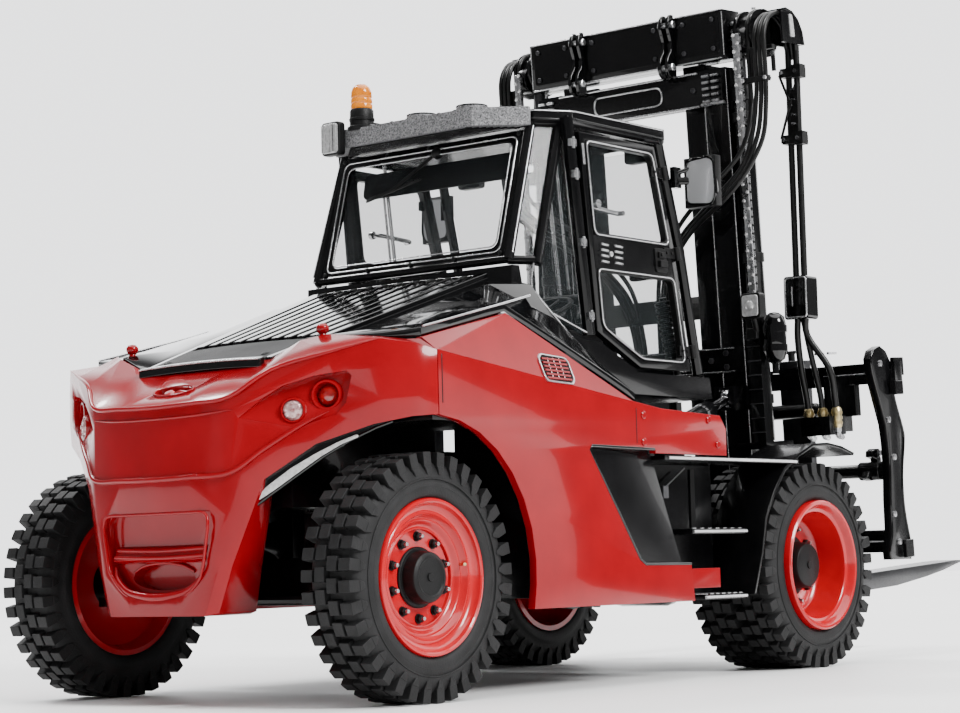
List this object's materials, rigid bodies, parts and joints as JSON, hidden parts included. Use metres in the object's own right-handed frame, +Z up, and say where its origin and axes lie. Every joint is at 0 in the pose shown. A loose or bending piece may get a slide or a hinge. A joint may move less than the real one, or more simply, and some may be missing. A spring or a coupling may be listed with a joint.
{
  "type": "toy forklift truck",
  "caption": "Scale model of a heavy counterbalanced forklift with an enclosed cab, two-stage chain mast, tilting cylinders, dual drive tyres and a steered rear axle.",
  "frame": {"origin": "middle of the footprint on the ground under the tyres", "axes": "+Y towards the fork tips, +X to the driver's right when the truck is seen from above with +Y ahead, +Z up"},
  "size_m": [0.1892, 0.4886, 0.2777],
  "materials": {
    "red_paint": "gloss red enamel",
    "black_paint": "satin black paint",
    "gloss_black": "gloss black enamel",
    "black_plastic": "fine textured black moulding",
    "hose_rubber": "smooth hose rubber",
    "tyre_rubber": "matt tread rubber",
    "red_rim": "gloss red enamel over turned metal",
    "vinyl": "black vinyl",
    "clear_glass": "clear pane",
    "grey_metal": "cast grey metal",
    "dark_steel": "dark forged steel",
    "chain_steel": "oiled bright steel",
    "rod_chrome": "polished plated rod",
    "speckled_grey": "speckled dark grey coating",
    "amber": "clear amber lens"
  },
  "bodies": {
    "truck_body": {"chassis_frame": "black_paint", "engine_block": "grey_metal", "drive_axle": "black_paint", "counterweight": "red_paint", "side_panel_right": "red_paint", "side_panel_left": "red_paint", "shoulder_deck_right": "gloss_black", "shoulder_deck_left": "gloss_black", "tank_right": "black_paint", "tank_left": "black_paint", "fender_right": "black_paint", "fender_left": "black_paint", "cab_tub": "black_paint", "cab_frame": "black_paint", "rear_window": "clear_glass", "front_window": "clear_glass", "driver_seat": "vinyl", "control_console": "black_plastic", "roof_unit": "speckled_grey", "beacon": "amber", "mirror_right": "black_plastic", "mirror_left": "black_plastic"},
    "steer_axle_beam": {"steer_axle": "black_paint"},
    "steer_link": {"steer_rod": "black_paint"},
    "knuckle_right_body": {"knuckle_right": "black_paint"},
    "knuckle_left_body": {"knuckle_left": "black_paint"},
    "steer_wheel_right": {"rim_steer_right": "red_rim", "tyre_steer_right": "tyre_rubber"},
    "steer_wheel_left": {"rim_steer_left": "red_rim", "tyre_steer_left": "tyre_rubber"},
    "drive_wheel_right": {"rim_drive_right": "red_rim", "tyre_drive_right_outer": "tyre_rubber", "tyre_drive_right_inner": "tyre_rubber"},
    "drive_wheel_left": {"rim_drive_left": "red_rim", "tyre_drive_left_outer": "tyre_rubber", "tyre_drive_left_inner": "tyre_rubber"},
    "cab_door_right": {"door_right": "black_paint", "door_glass_right": "clear_glass"},
    "cab_door_left": {"door_left": "black_paint", "door_glass_left": "clear_glass"},
    "hood_lid": {"engine_hood": "gloss_black"},
    "wiper_arm": {"wiper": "black_plastic"},
    "hand_wheel": {"steering_wheel": "black_plastic"},
    "outer_mast": {"mast_outer": "black_paint", "lift_barrel_right": "black_paint", "lift_barrel_left": "black_paint"},
    "inner_mast": {"mast_inner": "black_paint", "mast_crosshead": "black_paint", "chain_right": "chain_steel", "chain_left": "chain_steel", "hose_drop_right": "hose_rubber", "hose_drop_left": "hose_rubber"},
    "fork_carriage": {"carriage": "black_paint"},
    "fork_right_body": {"fork_right": "dark_steel"},
    "fork_left_body": {"fork_left": "dark_steel"},
    "tilt_cylinder_right": {"tilt_barrel_right": "black_paint"},
    "tilt_cylinder_left": {"tilt_barrel_left": "black_paint"},
    "tilt_ram_right": {"tilt_rod_right": "rod_chrome"},
    "tilt_ram_left": {"tilt_rod_left": "rod_chrome"}
  },
  "joints": [
    {"name": "steer_axle_swing", "type": "hinge", "parent": "truck_body", "child": "steer_axle_beam", "pos_m": [0, -0.198, 0.054], "axis": [0, 1, 0], "range_deg": [-3, 3]},
    {"name": "knuckle_right_turn", "type": "hinge", "parent": "steer_axle_beam", "child": "knuckle_right_body", "pos_m": [0.056, -0.198, 0.0415], "axis": [0, 0, 1], "range_deg": [-25, 25]},
    {"name": "knuckle_left_turn", "type": "hinge", "parent": "steer_axle_beam", "child": "knuckle_left_body", "pos_m": [-0.056, -0.198, 0.0415], "axis": [0, 0, 1], "range_deg": [-25, 25]},
    {"name": "steer_rod_slide", "type": "slide", "parent": "steer_axle_beam", "child": "steer_link", "axis": [1, 0, 0], "range_m": [-0.006, 0.006]},
    {"name": "steer_wheel_right_spin", "type": "hinge", "parent": "knuckle_right_body", "child": "steer_wheel_right", "pos_m": [0.07375, -0.198, 0.0415], "axis": [1, 0, 0], "continuous": true},
    {"name": "steer_wheel_left_spin", "type": "hinge", "parent": "knuckle_left_body", "child": "steer_wheel_left", "pos_m": [-0.07375, -0.198, 0.0415], "axis": [1, 0, 0], "continuous": true},
    {"name": "drive_wheel_right_spin", "type": "hinge", "parent": "truck_body", "child": "drive_wheel_right", "pos_m": [0.07, 0.0405, 0.0415], "axis": [1, 0, 0], "continuous": true},
    {"name": "drive_wheel_left_spin", "type": "hinge", "parent": "truck_body", "child": "drive_wheel_left", "pos_m": [-0.07, 0.0405, 0.0415], "axis": [1, 0, 0], "continuous": true},
    {"name": "door_right_hinge", "type": "hinge", "parent": "truck_body", "child": "cab_door_right", "pos_m": [0.0612, -0.00541, 0.12], "axis": [0, -0.2195, 0.9756], "range_deg": [0, 70]},
    {"name": "door_left_hinge", "type": "hinge", "parent": "truck_body", "child": "cab_door_left", "pos_m": [-0.0612, -0.00541, 0.12], "axis": [0, 0.2195, -0.9756], "range_deg": [0, 70]},
    {"name": "hood_hinge", "type": "hinge", "parent": "truck_body", "child": "hood_lid", "pos_m": [0, -0.1135, 0.1522], "axis": [-1, 0, 0], "range_deg": [0, 45]},
    {"name": "wiper_sweep", "type": "hinge", "parent": "truck_body", "child": "wiper_arm", "pos_m": [0.004, -0.0951, 0.2052], "axis": [0, -0.9614, 0.2753], "range_deg": [0, 60]},
    {"name": "steering_wheel_turn", "type": "hinge", "parent": "truck_body", "child": "hand_wheel", "pos_m": [0, -0.0234, 0.1491], "axis": [0, -0.4349, 0.9005], "range_deg": [-170, 170]},
    {"name": "mast_tilt", "type": "hinge", "parent": "truck_body", "child": "outer_mast", "pos_m": [0, 0.0405, 0.0415], "axis": [1, 0, 0], "range_deg": [-10, 4]},
    {"name": "mast_lift", "type": "slide", "parent": "outer_mast", "child": "inner_mast", "axis": [0, -0.061, 0.9981], "range_m": [0, 0.055]},
    {"name": "carriage_lift", "type": "slide", "parent": "inner_mast", "child": "fork_carriage", "axis": [0, -0.061, 0.9981], "range_m": [0, 0.055], "deforming": ["hose_drop_right", "hose_drop_left"]},
    {"name": "fork_right_shift", "type": "slide", "parent": "fork_carriage", "child": "fork_right_body", "axis": [1, 0, 0], "range_m": [-0.018, 0.04]},
    {"name": "fork_left_shift", "type": "slide", "parent": "fork_carriage", "child": "fork_left_body", "axis": [1, 0, 0], "range_m": [-0.04, 0.018]},
    {"name": "tilt_cylinder_right_turn", "type": "hinge", "parent": "truck_body", "child": "tilt_cylinder_right", "pos_m": [0.045, -0.002, 0.096], "axis": [1, 0, 0], "range_deg": [-5.5, 2.3]},
    {"name": "tilt_cylinder_left_turn", "type": "hinge", "parent": "truck_body", "child": "tilt_cylinder_left", "pos_m": [-0.045, -0.002, 0.096], "axis": [1, 0, 0], "range_deg": [-5.5, 2.3]},
    {"name": "tilt_ram_right_slide", "type": "slide", "parent": "tilt_cylinder_right", "child": "tilt_ram_right", "axis": [0, 0.9422, 0.335], "range_m": [-0.0046, 0.0114]},
    {"name": "tilt_ram_left_slide", "type": "slide", "parent": "tilt_cylinder_left", "child": "tilt_ram_left", "axis": [0, 0.9422, 0.335], "range_m": [-0.0046, 0.0114]}
  ],
  "couplings": [
    {"joint": "knuckle_left_turn", "follows": "knuckle_right_turn", "ratio": 1},
    {"joint": "steer_rod_slide", "follows": "knuckle_right_turn", "m_per_rad": 0.0137},
    {"joint": "tilt_cylinder_right_turn", "follows": "mast_tilt", "ratio": 0.5378},
    {"joint": "tilt_cylinder_left_turn", "follows": "mast_tilt", "ratio": 0.5378},
    {"joint": "tilt_ram_right_slide", "follows": "mast_tilt", "m_per_rad": -0.0648},
    {"joint": "tilt_ram_left_slide", "follows": "mast_tilt", "m_per_rad": -0.0648},
    {"joint": "carriage_lift", "follows": "mast_lift", "ratio": 1},
    {"joint": "fork_left_shift", "follows": "fork_right_shift", "ratio": -1}
  ]
}
